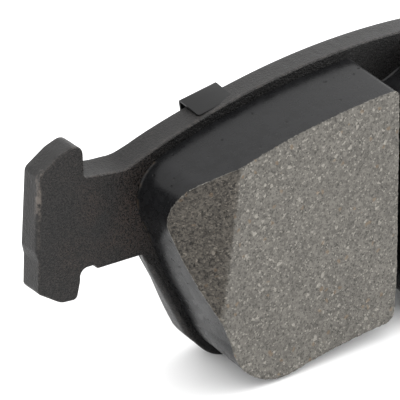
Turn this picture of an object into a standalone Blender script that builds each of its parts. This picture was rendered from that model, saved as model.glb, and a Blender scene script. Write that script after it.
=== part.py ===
"""Disc-brake pad with T-shaped ears: a steel backing plate, two friction blocks and a shim pack.

Metres, +Z up. The pad stands on its lower edge with +X along its length. The friction faces look
towards -Y and the shims lie on the +Y side. The origin is on the floor, under the middle of the
whole pad. Outlines are drawn as seen from the friction side: x is counted outwards from the pad's
middle and drop is counted down from the top of the plate's arch.
"""
import math

import bmesh
import bpy
from mathutils import Vector

MM = 0.001
GAP = 0.3 * MM                       # clearance between pieces that rest on each other
LAYER_GAP = 0.1 * MM                 # clearance between the vulcanised layers of the damping shim

# Backing plate
PLATE_THICKNESS = 5.5 * MM
PLATE_HEIGHT = 59.1 * MM             # arch top down to the lowest point of the two feet
ARCH_RADIUS = 165.0 * MM             # upper edge
FOOT_ARC_RADIUS = 146.0 * MM         # hollow of the lower edge
FOOT_ARC_DROP = 55.6 * MM            # how far the hollow's middle lies below the arch top
ARCH_END = 52.0 * MM                 # where the arch runs out into the neck
FOOT_ARC_END = 30.0 * MM
PLATE_EDGE_BEVEL = 0.35 * MM

# Friction blocks
BLOCK_HEIGHT = 15.0 * MM             # plate face to friction face
UNDERLAYER_HEIGHT = 2.0 * MM
SLOT_HALF_WIDTH = 3.3 * MM
BLOCK_LEDGE = 2.2 * MM               # plate left bare above the blocks
DRAFT = math.tan(math.radians(4.2))  # mould taper of the outer walls
BLOCK_ARC_END = 46.0 * MM
BLOCK_FOOT_DROP = 55.1 * MM
BLOCK_FOOT_END = 27.2 * MM
SLOT_CORNER = 1.8 * MM
SENSOR_SCOOP_RADIUS = 16.0 * MM      # hollow at the right block's inner upper corner
SENSOR_SCOOP_RISE = 5.75 * MM        # its centre above the arch top, on the pad's middle line
CHAMFER_TOP_X = 40.3 * MM            # where the chamfer's edge would meet the arch top's level
CHAMFER_LEAN = math.radians(8.1)     # the edge leans outwards going down
CHAMFER_ANGLE = math.radians(24.0)
CUTTER_SIZE = 160.0 * MM

# Moulding holes, where the underlayer grips the plate: (x, drop) of each hole on one side
MOULD_HOLES = ((17.0 * MM, 27.0 * MM), (38.0 * MM, 29.0 * MM))
MOULD_HOLE_RADIUS = 5.5 * MM
PLUG_RECESS = 0.6 * MM               # plug end below the plate's back face

# Shim pack, counted from the plate's back face
RUBBER_THICKNESS = 0.15 * MM
CORE_THICKNESS = 0.4 * MM
COVER_THICKNESS = 0.5 * MM
TOP_TAB_X = 35.75 * MM
TOP_TAB_TOP_DROP = 2.75 * MM         # top face of the tab at its middle
TOP_TAB_TILT = math.radians(9.0)
LOWER_TAB_X = 13.0 * MM
TAB_WIDTH = 8.7 * MM
TAB_CORNER = 1.0 * MM
TAB_SHORTFALL = 0.8 * MM             # how far the tab's tip stays behind the plate's front face
TAB_LEG_HEIGHT = 5.0 * MM
TAB_LEG_MARGIN = 0.05 * MM           # the leg lies this far inside the sheet that it joins

STACK = (2 * GAP + 2 * LAYER_GAP + 2 * RUBBER_THICKNESS + CORE_THICKNESS + COVER_THICKNESS)
FACE_Y = (BLOCK_HEIGHT - PLATE_THICKNESS - STACK) / 2    # plate's front face in the pad's frame
BACK_Y = FACE_Y + PLATE_THICKNESS

ARC_STEPS = 22
FILLET_STEPS = 6
HOLE_STEPS = 32

# Corners of one half of the plate below the arch, outwards and down: (x, drop, radius), millimetres
EAR_CORNERS = (
    (57.8, 10.5, 6.0), (67.3, 9.05, 0.8),                       # neck, upper side
    (67.4, 1.6, 1.8), (77.2, 6.1, 1.3), (78.5, 21.8, 3.0),      # head, top and end
    (78.1, 24.0, 3.0), (78.5, 30.6, 1.3), (73.4, 34.5, 3.0), (69.5, 34.8, 1.4),
    (68.9, 31.0, 0.5), (68.7, 28.4, 1.6), (65.6, 28.5, 0.9), (64.9, 29.6, 0.4),
    (54.6, 29.9, 0.8),                                          # neck, lower side
    (44.3, 51.3, 4.0), (35.6, 60.0, 9.0),                       # flank and foot
)
# Corners of the shims: the flank and the foot follow the plate's
DAMPING_CORNERS = ((54.0, 13.8, 4.0), (50.6, 28.5, 4.0), (41.5, 47.6, 4.0), (34.3, 55.8, 6.0))
COVER_CORNERS = ((55.0, 12.2, 3.0), (53.2, 28.6, 4.0), (43.0, 50.2, 4.0), (35.2, 58.4, 7.0))


def clear_scene():
    """Remove every object that the scene starts with."""
    for item in list(bpy.data.objects):
        bpy.data.objects.remove(item, do_unlink=True)


def new_collection(name):
    """A collection of the scene."""
    collection = bpy.data.collections.new(name)
    bpy.context.scene.collection.children.link(collection)
    return collection


def finish(name, colour, roughness, metallic):
    """A plain material for one sub-part."""
    material = bpy.data.materials.new(name)
    material.use_nodes = True
    shader = material.node_tree.nodes["Principled BSDF"]
    shader.inputs["Base Color"].default_value = (*colour, 1.0)
    shader.inputs["Roughness"].default_value = roughness
    shader.inputs["Metallic"].default_value = metallic
    material.diffuse_color = (*colour, 1.0)
    return material


def arc(radius, centre_drop, x_start, x_end, upper=True):
    """Points of an arc about the pad's middle line: (x, drop) from x_start to x_end."""
    side = -1 if upper else 1
    points = []
    for step in range(ARC_STEPS + 1):
        x = x_start + (x_end - x_start) * step / ARC_STEPS
        points.append((x, centre_drop + side * math.sqrt(radius ** 2 - x ** 2)))
    return points


def hollow_arc(radius, middle_drop, x_start, x_end):
    """Points of a hollow lower edge whose middle lies middle_drop below the arch top."""
    return arc(radius, middle_drop + radius, x_start, x_end)


def fillet(before, corner, after, radius):
    """Points of the arc that rounds one corner."""
    corner = Vector(corner)
    back = (Vector(before) - corner).normalized()
    forth = (Vector(after) - corner).normalized()
    half = back.angle(forth) / 2
    centre = corner + (back + forth).normalized() * (radius / math.sin(half))
    first = corner + back * (radius / math.tan(half)) - centre
    last = corner + forth * (radius / math.tan(half)) - centre
    turn = first.angle_signed(last)
    points = []
    for step in range(FILLET_STEPS + 1):
        angle = -turn * step / FILLET_STEPS
        x = first.x * math.cos(angle) - first.y * math.sin(angle)
        y = first.x * math.sin(angle) + first.y * math.cos(angle)
        points.append((centre.x + x, centre.y + y))
    return points


def rounded(corners):
    """A closed outline from corners (x, drop, radius), with each rounded corner as an arc."""
    outline = []
    for index, (x, drop, radius) in enumerate(corners):
        if radius:
            before, after = corners[index - 1][:2], corners[(index + 1) % len(corners)][:2]
            outline += fillet(before, (x, drop), after, radius)
        else:
            outline.append((x, drop))
    return outline


def sharp(points):
    """Outline points that aren't rounded."""
    return [(x, drop, 0.0) for x, drop in points]


def in_metres(corners):
    """Corners given in millimetres."""
    return [(x * MM, drop * MM, radius * MM) for x, drop, radius in corners]


def both_sides(half):
    """A whole outline from its right half, which runs from the upper middle to the lower middle."""
    left = [(-x, drop, radius) for x, drop, radius in reversed(half) if x > 0]
    return half + left


def body_outline(arch_radius, arch_end, corners, foot_drop, foot_end):
    """An arched outline with a hollow lower edge, such as the plate's or a shim's."""
    half = sharp(arc(arch_radius, ARCH_RADIUS, 0.0, arch_end))
    half += in_metres(corners)
    half += sharp(hollow_arc(FOOT_ARC_RADIUS, foot_drop, foot_end, 0.0))
    return rounded(both_sides(half))


def block_outline(taper, scooped):
    """A friction block's outline on the right side, drawn in by the mould taper."""
    radius = ARCH_RADIUS - BLOCK_LEDGE - taper
    side = math.tan(math.radians(20.3))
    inner = SLOT_HALF_WIDTH
    if scooped:
        upper = [(x, drop, 0.0) for x, drop in scoop_arc(radius)]
        start = upper[-1][0]
    else:
        upper = []
        start = inner
    upper += sharp(arc(radius, ARCH_RADIUS, start, BLOCK_ARC_END))[1 if scooped else 0:]
    last_x, last_drop, _ = upper[-1]
    slope = last_x / math.sqrt(radius ** 2 - last_x ** 2)
    flank = 62.62 * MM - taper * math.hypot(1, side)
    top_x = (flank - side * (last_drop - slope * last_x)) / (1 + side * slope)
    top_drop = (flank - top_x) / side
    foot = sharp(hollow_arc(FOOT_ARC_RADIUS, BLOCK_FOOT_DROP - taper / 3, BLOCK_FOOT_END, inner))
    foot_x, foot_drop, _ = foot[0]
    foot_slope = foot_x / math.sqrt(FOOT_ARC_RADIUS ** 2 - foot_x ** 2)
    low_x = (flank - side * (foot_drop - foot_slope * foot_x)) / (1 + side * foot_slope)
    low_drop = (flank - low_x) / side
    corners = [(top_x, top_drop, 8.6 * MM), (low_x, low_drop, 14.0 * MM)]
    slot_corner = (foot[-1][0], foot[-1][1], SLOT_CORNER)
    foot = [point for point in foot if point[0] > inner + 1.2 * SLOT_CORNER]
    return rounded(upper + corners + foot + [slot_corner])


def scoop_arc(radius):
    """The sensor scoop's arc, from the slot to where it meets the block's upper edge."""
    meet_drop = SENSOR_SCOOP_RADIUS - SENSOR_SCOOP_RISE
    for _ in range(8):
        meet_x = math.sqrt(SENSOR_SCOOP_RADIUS ** 2 - (SENSOR_SCOOP_RISE + meet_drop) ** 2)
        meet_drop = ARCH_RADIUS - math.sqrt(radius ** 2 - meet_x ** 2)
    return arc(SENSOR_SCOOP_RADIUS, -SENSOR_SCOOP_RISE, SLOT_HALF_WIDTH, meet_x, upper=False)


def place(x, drop, y):
    """A point of an outline in the pad's frame."""
    return (x, y, PLATE_HEIGHT - drop)


def link_mesh(name, mesh, material, collection):
    """A named object for a mesh, with its material."""
    mesh.materials.clear()
    mesh.materials.append(material)
    item = bpy.data.objects.new(name, mesh)
    collection.objects.link(item)
    return item


def sheet(name, outline, y_front, thickness, material, collection):
    """A flat piece: an outline filled on both sides and extruded, then made a welded mesh."""
    curve = bpy.data.curves.new(name, "CURVE")
    curve.dimensions = "2D"
    curve.fill_mode = "BOTH"
    curve.extrude = thickness / 2
    spline = curve.splines.new("POLY")
    spline.points.add(len(outline) - 1)
    for point, (x, drop) in zip(spline.points, outline):
        point.co = (x, PLATE_HEIGHT - drop, 0.0, 1.0)
    spline.use_cyclic_u = True
    guide = bpy.data.objects.new(name + "_curve", curve)
    guide.rotation_euler = (math.pi / 2, 0.0, 0.0)
    guide.location = (0.0, y_front + thickness / 2, 0.0)
    collection.objects.link(guide)
    bpy.context.view_layer.update()
    evaluated = guide.evaluated_get(bpy.context.evaluated_depsgraph_get())
    mesh = bpy.data.meshes.new_from_object(evaluated)
    work = bmesh.new()
    work.from_mesh(mesh)
    bmesh.ops.remove_doubles(work, verts=work.verts, dist=0.00001)
    bmesh.ops.recalc_face_normals(work, faces=work.faces)
    work.to_mesh(mesh)
    work.free()
    item = link_mesh(name, mesh, material, collection)
    item.matrix_world = guide.matrix_world
    bpy.data.objects.remove(guide, do_unlink=True)
    return item


def loft(name, outline_low, outline_high, y_low, y_high, material, collection):
    """A tapered block between two outlines of equal point count."""
    work = bmesh.new()
    rings = []
    for outline, y in ((outline_low, y_low), (outline_high, y_high)):
        ring = [work.verts.new(place(x, drop, y)) for x, drop in outline]
        for index, vert in enumerate(ring):
            work.edges.new((vert, ring[(index + 1) % len(ring)]))
        work.faces.new(ring)
        rings.append(ring)
    bmesh.ops.bridge_loops(work, edges=list(work.edges))
    bmesh.ops.recalc_face_normals(work, faces=work.faces)
    mesh = bpy.data.meshes.new(name)
    work.to_mesh(mesh)
    work.free()
    return link_mesh(name, mesh, material, collection)


def as_cutter(item):
    """Mark an object as a tool for Boolean modifiers."""
    item.hide_render = True
    item.display_type = "WIRE"
    return item


def cylinder(name, x, drop, y_front, y_back, radius, collection):
    """A round bar along Y, used as a cutter or as a moulded plug."""
    bpy.ops.mesh.primitive_cylinder_add(vertices=HOLE_STEPS, radius=radius, depth=y_back - y_front,
                                        location=place(x, drop, (y_front + y_back) / 2),
                                        rotation=(math.pi / 2, 0.0, 0.0))
    item = bpy.context.object
    item.name = name
    for owner in list(item.users_collection):
        owner.objects.unlink(item)
    collection.objects.link(item)
    return as_cutter(item)


def boolean(item, tool, operation):
    """Cut a tool out of a piece, or join it on."""
    modifier = item.modifiers.new(operation.lower(), "BOOLEAN")
    modifier.operation = operation
    modifier.object = tool


def chamfer_cutter(side, collection):
    """A block whose inner face is the plane of the outer end's chamfer."""
    bpy.ops.mesh.primitive_cube_add(size=CUTTER_SIZE)
    item = bpy.context.object
    item.name = "chamfer_cutter_" + ("right" if side > 0 else "left")
    for vertex in item.data.vertices:
        vertex.co.y -= CUTTER_SIZE / 2
    item.rotation_mode = "XYZ"
    item.rotation_euler = (0.0, side * CHAMFER_LEAN, side * CHAMFER_ANGLE)
    item.location = place(side * CHAMFER_TOP_X, 0.0, FACE_Y - BLOCK_HEIGHT)
    for owner in list(item.users_collection):
        owner.objects.unlink(item)
    collection.objects.link(item)
    return as_cutter(item)


def build_plate(parts, cutters):
    """The stamped steel plate with its ears and moulding holes."""
    outline = body_outline(ARCH_RADIUS, ARCH_END, EAR_CORNERS, FOOT_ARC_DROP, FOOT_ARC_END)
    steel = finish("plate_paint", (0.035, 0.032, 0.031), 0.55, 0.0)
    plate = sheet("backing_plate", outline, FACE_Y, PLATE_THICKNESS, steel, parts)
    for side in (-1, 1):
        for number, (x, drop) in enumerate(MOULD_HOLES):
            name = f"mould_hole_{'right' if side > 0 else 'left'}_{number + 1}"
            hole = cylinder(name, side * x, drop, FACE_Y - MM, BACK_Y + MM,
                            MOULD_HOLE_RADIUS, cutters)
            boolean(plate, hole, "DIFFERENCE")
    bevel = plate.modifiers.new("edge_break", "BEVEL")
    bevel.width = PLATE_EDGE_BEVEL
    bevel.segments = 1
    bevel.limit_method = "ANGLE"
    bevel.angle_limit = math.radians(60)


def build_block(side, parts, cutters):
    """One friction block on its underlayer."""
    word = "right" if side > 0 else "left"
    scooped = side > 0

    def tapered(height):
        return [(side * x, drop) for x, drop in block_outline(height * DRAFT, scooped)]

    mix = finish("underlayer_mix_" + word, (0.06, 0.052, 0.045), 0.85, 0.0)
    under = loft("underlayer_" + word, tapered(GAP), tapered(UNDERLAYER_HEIGHT),
                 FACE_Y - GAP, FACE_Y - UNDERLAYER_HEIGHT, mix, parts)
    for number, (x, drop) in enumerate(MOULD_HOLES):
        plug = cylinder(f"plug_{word}_{number + 1}", side * x, drop, FACE_Y - MM,
                        BACK_Y - PLUG_RECESS, MOULD_HOLE_RADIUS - GAP, cutters)
        boolean(under, plug, "UNION")
    friction = finish("friction_mix_" + word, (0.2, 0.19, 0.175), 0.9, 0.0)
    foot = UNDERLAYER_HEIGHT + GAP
    block = loft("friction_block_" + word, tapered(foot), tapered(BLOCK_HEIGHT),
                 FACE_Y - foot, FACE_Y - BLOCK_HEIGHT, friction, parts)
    boolean(block, chamfer_cutter(side, cutters), "DIFFERENCE")


def tab_profile(width, length):
    """Plan outline of a shim tab: square at the fold, rounded at the tip."""
    half = width / 2
    return rounded([(-half, 0.0, 0.0), (half, 0.0, 0.0),
                    (half, length, TAB_CORNER), (-half, length, TAB_CORNER)])


def build_tab(name, x, drop, tilt, below, cutters):
    """One folded tab as a solid: a leg up the plate's back and a tongue over its edge."""
    back = BACK_Y + STACK
    length = back - FACE_Y - TAB_SHORTFALL
    work = bmesh.new()
    tongue = [work.verts.new((px, back - py, 0.0)) for px, py in tab_profile(TAB_WIDTH, length)]
    face = work.faces.new(tongue)
    raised = bmesh.ops.extrude_face_region(work, geom=[face])
    lifted = [part for part in raised["geom"] if isinstance(part, bmesh.types.BMVert)]
    bmesh.ops.translate(work, verts=lifted, vec=(0.0, 0.0, -COVER_THICKNESS))
    bmesh.ops.recalc_face_normals(work, faces=work.faces)
    mesh = bpy.data.meshes.new(name)
    work.to_mesh(mesh)
    work.free()
    tongue_item = bpy.data.objects.new(name, mesh)
    cutters.objects.link(tongue_item)
    bpy.ops.mesh.primitive_cube_add(size=1.0)
    leg = bpy.context.object
    leg.name = name + "_leg"
    for vertex in leg.data.vertices:
        vertex.co.x *= TAB_WIDTH - 2 * TAB_LEG_MARGIN
        vertex.co.y *= COVER_THICKNESS - 2 * TAB_LEG_MARGIN
        vertex.co.y += back - COVER_THICKNESS / 2
        vertex.co.z = (vertex.co.z - 0.5) * TAB_LEG_HEIGHT - TAB_LEG_MARGIN
    for owner in list(leg.users_collection):
        owner.objects.unlink(leg)
    cutters.objects.link(leg)
    for item in (tongue_item, leg):
        item.rotation_euler = (0.0, tilt + (math.pi if below else 0.0), 0.0)
        item.location = place(x, drop, 0.0)
        as_cutter(item)
    return tongue_item, leg


def build_shims(parts, cutters):
    """The rubber-coated damping shim and the clip-on cover shim with its four tabs."""
    rubber = finish("shim_rubber", (0.02, 0.02, 0.02), 0.8, 0.0)
    outer_rubber = finish("shim_rubber_outer", (0.022, 0.022, 0.022), 0.8, 0.0)
    core = finish("shim_core_steel", (0.42, 0.42, 0.43), 0.35, 1.0)
    outline = body_outline(ARCH_RADIUS - 3.2 * MM, 48.0 * MM, DAMPING_CORNERS, 52.4 * MM, 29.0 * MM)
    y = BACK_Y + GAP
    sheet("damping_rubber_inner", outline, y, RUBBER_THICKNESS, rubber, parts)
    y += RUBBER_THICKNESS + LAYER_GAP
    sheet("damping_core", outline, y, CORE_THICKNESS, core, parts)
    y += CORE_THICKNESS + LAYER_GAP
    sheet("damping_rubber_outer", outline, y, RUBBER_THICKNESS, outer_rubber, parts)
    y += RUBBER_THICKNESS + GAP
    coated = finish("cover_coating", (0.04, 0.04, 0.042), 0.45, 0.0)
    outline = body_outline(ARCH_RADIUS - 2.2 * MM, 50.0 * MM, COVER_CORNERS, 54.6 * MM, 29.5 * MM)
    cover = sheet("cover_shim", outline, y, COVER_THICKNESS, coated, parts)
    lower_drop = FOOT_ARC_DROP + (LOWER_TAB_X ** 2) / (2 * FOOT_ARC_RADIUS) + 1.4 * MM
    for side, word in ((-1, "left"), (1, "right")):
        top = build_tab("tab_top_" + word, side * TOP_TAB_X, TOP_TAB_TOP_DROP,
                        side * TOP_TAB_TILT, False, cutters)
        low = build_tab("tab_low_" + word, side * LOWER_TAB_X, lower_drop,
                        side * math.radians(5.0), True, cutters)
        for tool in (*top, *low):
            boolean(cover, tool, "UNION")


def main():
    """Build the whole pad."""
    clear_scene()
    parts = new_collection("brake_pad")
    cutters = new_collection("cutters")
    build_plate(parts, cutters)
    for side in (-1, 1):
        build_block(side, parts, cutters)
    build_shims(parts, cutters)


main()
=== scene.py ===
"""Looks of a disc-brake pad: stamped backing plate, moulded friction blocks and clip-on shims.

Every outline is drawn as seen from the friction side: x is counted outwards from the pad's middle
and drop is counted down from the top of the plate's arch. The pad stands with +X along its length,
its friction faces towards -Y and +Z up.
"""

import logging
import math
from dataclasses import dataclass, field
from enum import Enum
from typing import Callable, Iterable, Optional, Sequence

import bmesh
import bpy
from mathutils import Matrix, Vector, noise


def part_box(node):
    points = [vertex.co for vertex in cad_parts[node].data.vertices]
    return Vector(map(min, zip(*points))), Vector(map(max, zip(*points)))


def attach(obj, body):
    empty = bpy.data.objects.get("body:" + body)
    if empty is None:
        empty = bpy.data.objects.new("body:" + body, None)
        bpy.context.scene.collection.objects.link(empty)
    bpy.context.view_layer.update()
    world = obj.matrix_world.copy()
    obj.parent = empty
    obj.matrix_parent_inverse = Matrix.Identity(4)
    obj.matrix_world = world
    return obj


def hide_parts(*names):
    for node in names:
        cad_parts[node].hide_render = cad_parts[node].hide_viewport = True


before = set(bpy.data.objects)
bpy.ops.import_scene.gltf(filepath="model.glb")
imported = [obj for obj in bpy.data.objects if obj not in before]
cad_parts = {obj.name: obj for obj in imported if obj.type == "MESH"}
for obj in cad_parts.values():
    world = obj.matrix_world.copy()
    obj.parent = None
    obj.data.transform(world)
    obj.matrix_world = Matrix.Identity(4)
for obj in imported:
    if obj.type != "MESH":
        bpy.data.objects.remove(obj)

MM = 0.001
LOG = logging.getLogger("brake_pad")
SHAKE_OFFSETS = (Vector((11.3, 0.0, 0.0)), Vector((0.0, 23.7, 0.0)), Vector((0.0, 0.0, 37.1)))

Point = tuple[float, float]
Colour = tuple[float, float, float]


# ---------------------------------------------------------------------------------------------
# Sizes


@dataclass(frozen=True)
class PadSizes:
    """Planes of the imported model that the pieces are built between, in metres."""

    face_y: float
    back_y: float
    height: float
    friction_y: float
    cover_back_y: float

    @classmethod
    def from_frame(cls) -> "PadSizes":
        """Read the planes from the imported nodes' boxes."""
        plate_low, plate_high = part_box("backing_plate")
        return cls(
            face_y=plate_low.y,
            back_y=plate_high.y,
            height=plate_high.z,
            friction_y=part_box("friction_block_left")[0].y,
            cover_back_y=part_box("cover_shim")[1].y,
        )

    def place(self, x: float, drop: float, y: float) -> Vector:
        """A point of an outline in the pad's frame."""
        return Vector((x, y, self.height - drop))


class Side(Enum):
    """The pad's two halves, as seen from the friction side."""

    LEFT = -1
    RIGHT = 1

    @property
    def word(self) -> str:
        """The half's name in a piece's name."""
        return self.name.lower()


# ---------------------------------------------------------------------------------------------
# Outlines


class Outline:
    """Closed outlines from arcs and rounded corners, as lists of (x, drop)."""

    ARC_STEPS = 30
    FILLET_STEPS = 8
    FILLET_STEP = 0.6 * MM

    @classmethod
    def arc(cls, radius: float, centre_drop: float, start: float, end: float,
            upper: bool = True) -> list[Point]:
        """Points of an arc about the pad's middle line.

        Args:
            radius: the arc's radius.
            centre_drop: how far its centre lies below the arch top.
            start: x of the first point.
            end: x of the last point.
            upper: whether the arc lies above its centre.

        Returns:
            The points from start to end.
        """
        sign = -1 if upper else 1
        xs = [start + (end - start) * step / cls.ARC_STEPS for step in range(cls.ARC_STEPS + 1)]
        return [(x, centre_drop + sign * math.sqrt(radius ** 2 - x ** 2)) for x in xs]

    @classmethod
    def fillet(cls, before: Point, corner: Point, after: Point, radius: float) -> list[Point]:
        """Points of the arc that rounds one corner.

        Args:
            before: the outline's point before the corner.
            corner: the sharp corner.
            after: the point after the corner.
            radius: the arc's radius.

        Returns:
            The arc's points, in the outline's order.
        """
        tip = Vector(corner)
        back = (Vector(before) - tip).normalized()
        forth = (Vector(after) - tip).normalized()
        half = back.angle(forth) / 2
        centre = tip + (back + forth).normalized() * (radius / math.sin(half))
        first = tip + back * (radius / math.tan(half)) - centre
        last = tip + forth * (radius / math.tan(half)) - centre
        turn = -first.angle_signed(last)
        steps = max(cls.FILLET_STEPS, math.ceil(radius * abs(turn) / cls.FILLET_STEP))
        points = []
        for step in range(steps + 1):
            spoke = Matrix.Rotation(turn * step / steps, 2) @ first
            points.append((centre.x + spoke.x, centre.y + spoke.y))
        return points

    @classmethod
    def rounded(cls, corners: Sequence[tuple[float, float, float]]) -> list[Point]:
        """A closed outline from corners (x, drop, radius)."""
        outline: list[Point] = []
        for index, (x, drop, radius) in enumerate(corners):
            if radius:
                before = corners[index - 1][:2]
                after = corners[(index + 1) % len(corners)][:2]
                outline += cls.fillet(before, (x, drop), after, radius)
            else:
                outline.append((x, drop))
        return outline

    @staticmethod
    def spaced(outline: Sequence[Point], step: float) -> list[Point]:
        """The same closed outline with points no further apart than step."""
        points: list[Point] = []
        for index, start in enumerate(outline):
            end = outline[(index + 1) % len(outline)]
            length = math.dist(start, end)
            if length < step * 0.05:
                continue
            pieces = max(1, math.ceil(length / step))
            for part in range(pieces):
                share = part / pieces
                points.append((start[0] + (end[0] - start[0]) * share,
                               start[1] + (end[1] - start[1]) * share))
        return points

    @staticmethod
    def normals(outline: Sequence[Point]) -> list[Vector]:
        """Outward unit normals at an outline's points."""
        area = sum(a[0] * b[1] - b[0] * a[1]
                   for a, b in zip(outline, [*outline[1:], outline[0]]))
        sign = 1 if area > 0 else -1
        result = []
        for index in range(len(outline)):
            before = Vector(outline[index - 1])
            after = Vector(outline[(index + 1) % len(outline)])
            run = after - before
            result.append(Vector((run.y, -run.x)).normalized() * sign)
        return result


@dataclass(frozen=True)
class BodyShape:
    """An arched outline with a hollow lower edge, shared by the plate and the shims."""

    arch_radius: float
    arch_end: float
    corners: Sequence[tuple[float, float, float]]
    foot_drop: float
    foot_end: float
    arch_centre: float = 165.0 * MM
    foot_radius: float = 146.0 * MM

    def half(self) -> list[tuple[float, float, float]]:
        """Corners of the right half, from the upper middle to the lower middle."""
        arch = Outline.arc(self.arch_radius, self.arch_centre, 0.0, self.arch_end)
        foot = Outline.arc(self.foot_radius, self.foot_drop + self.foot_radius, self.foot_end, 0.0)
        side = [(x * MM, drop * MM, radius * MM) for x, drop, radius in self.corners]
        return [(*point, 0.0) for point in arch] + side + [(*point, 0.0) for point in foot]

    def arch_drop(self, x: float) -> float:
        """Drop of the arched edge at x."""
        return self.arch_centre - math.sqrt(self.arch_radius ** 2 - x ** 2)

    def foot_edge_drop(self, x: float) -> float:
        """Drop of the hollow lower edge at x."""
        return self.foot_drop + self.foot_radius - math.sqrt(self.foot_radius ** 2 - x ** 2)

    def outline(self) -> list[Point]:
        """The whole outline."""
        half = self.half()
        left = [(-x, drop, radius) for x, drop, radius in reversed(half) if x > 0]
        return Outline.rounded(half + left)


# ---------------------------------------------------------------------------------------------
# Mesh helpers


class Mesh:
    """Steps that several pieces share."""

    @staticmethod
    def ring(work: bmesh.types.BMesh, points: Iterable[Vector]) -> list[bmesh.types.BMVert]:
        """A closed ring of new vertices joined by edges."""
        verts = [work.verts.new(point) for point in points]
        for index, vert in enumerate(verts):
            work.edges.new((vert, verts[(index + 1) % len(verts)]))
        return verts

    @staticmethod
    def bridge(work: bmesh.types.BMesh, low: Sequence[bmesh.types.BMVert],
               high: Sequence[bmesh.types.BMVert], slot: int = 0) -> None:
        """Join two rings of equal count with a band of faces.

        Args:
            work: the mesh being built.
            low: the first ring.
            high: the second ring.
            slot: material slot of the new faces.
        """
        edges = [edge for ring in (low, high) for edge in Mesh.ring_edges(work, ring)]
        made = bmesh.ops.bridge_loops(work, edges=edges)
        for face in made["faces"]:
            face.material_index = slot

    @staticmethod
    def ring_edges(work: bmesh.types.BMesh,
                   ring: Sequence[bmesh.types.BMVert]) -> list[bmesh.types.BMEdge]:
        """The edges between a ring's neighbouring vertices."""
        pairs = zip(ring, [*ring[1:], ring[0]])
        return [work.edges.get(pair) or work.edges.new(pair) for pair in pairs]

    @staticmethod
    def piece(name: str, work: bmesh.types.BMesh, materials: Sequence[bpy.types.Material],
              smooth_angle: float = 40.0) -> bpy.types.Object:
        """Turn a finished bmesh into a shaded object that rides on the pad.

        Args:
            name: the piece's name.
            work: the mesh, which is freed.
            materials: its material slots.
            smooth_angle: edges sharper than this, in degrees, stay sharp.

        Returns:
            The new object.
        """
        bmesh.ops.recalc_face_normals(work, faces=work.faces)
        data = bpy.data.meshes.new(name)
        work.to_mesh(data)
        work.free()
        for material in materials:
            data.materials.append(material)
        data.shade_smooth()
        data.set_sharp_from_angle(angle=math.radians(smooth_angle))
        item = bpy.data.objects.new(name, data)
        bpy.context.scene.collection.objects.link(item)
        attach(item, "root")
        return item

    @staticmethod
    def attribute(item: bpy.types.Object, name: str,
                  rule: Callable[[Vector], float]) -> None:
        """Store a number at each vertex, worked out from its place."""
        layer = item.data.attributes.new(name, "FLOAT", "POINT")
        layer.data.foreach_set("value", [rule(vertex.co) for vertex in item.data.vertices])

    @staticmethod
    def apply_modifiers(item: bpy.types.Object) -> None:
        """Bake an object's modifiers into its mesh."""
        bpy.context.view_layer.update()
        evaluated = item.evaluated_get(bpy.context.evaluated_depsgraph_get())
        baked = bpy.data.meshes.new_from_object(evaluated)
        item.modifiers.clear()
        item.data = baked


def shaken(place: Vector) -> Vector:
    """Three unrelated noises at a place, the same in every run."""
    return Vector([noise.noise(place + offset) for offset in SHAKE_OFFSETS])


def ramp01(value: float, low: float, high: float) -> float:
    """Smooth step of value from 0 at low to 1 at high."""
    share = min(1.0, max(0.0, (value - low) / (high - low)))
    return share * share * (3 - 2 * share)


# ---------------------------------------------------------------------------------------------
# Finishes


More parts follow.
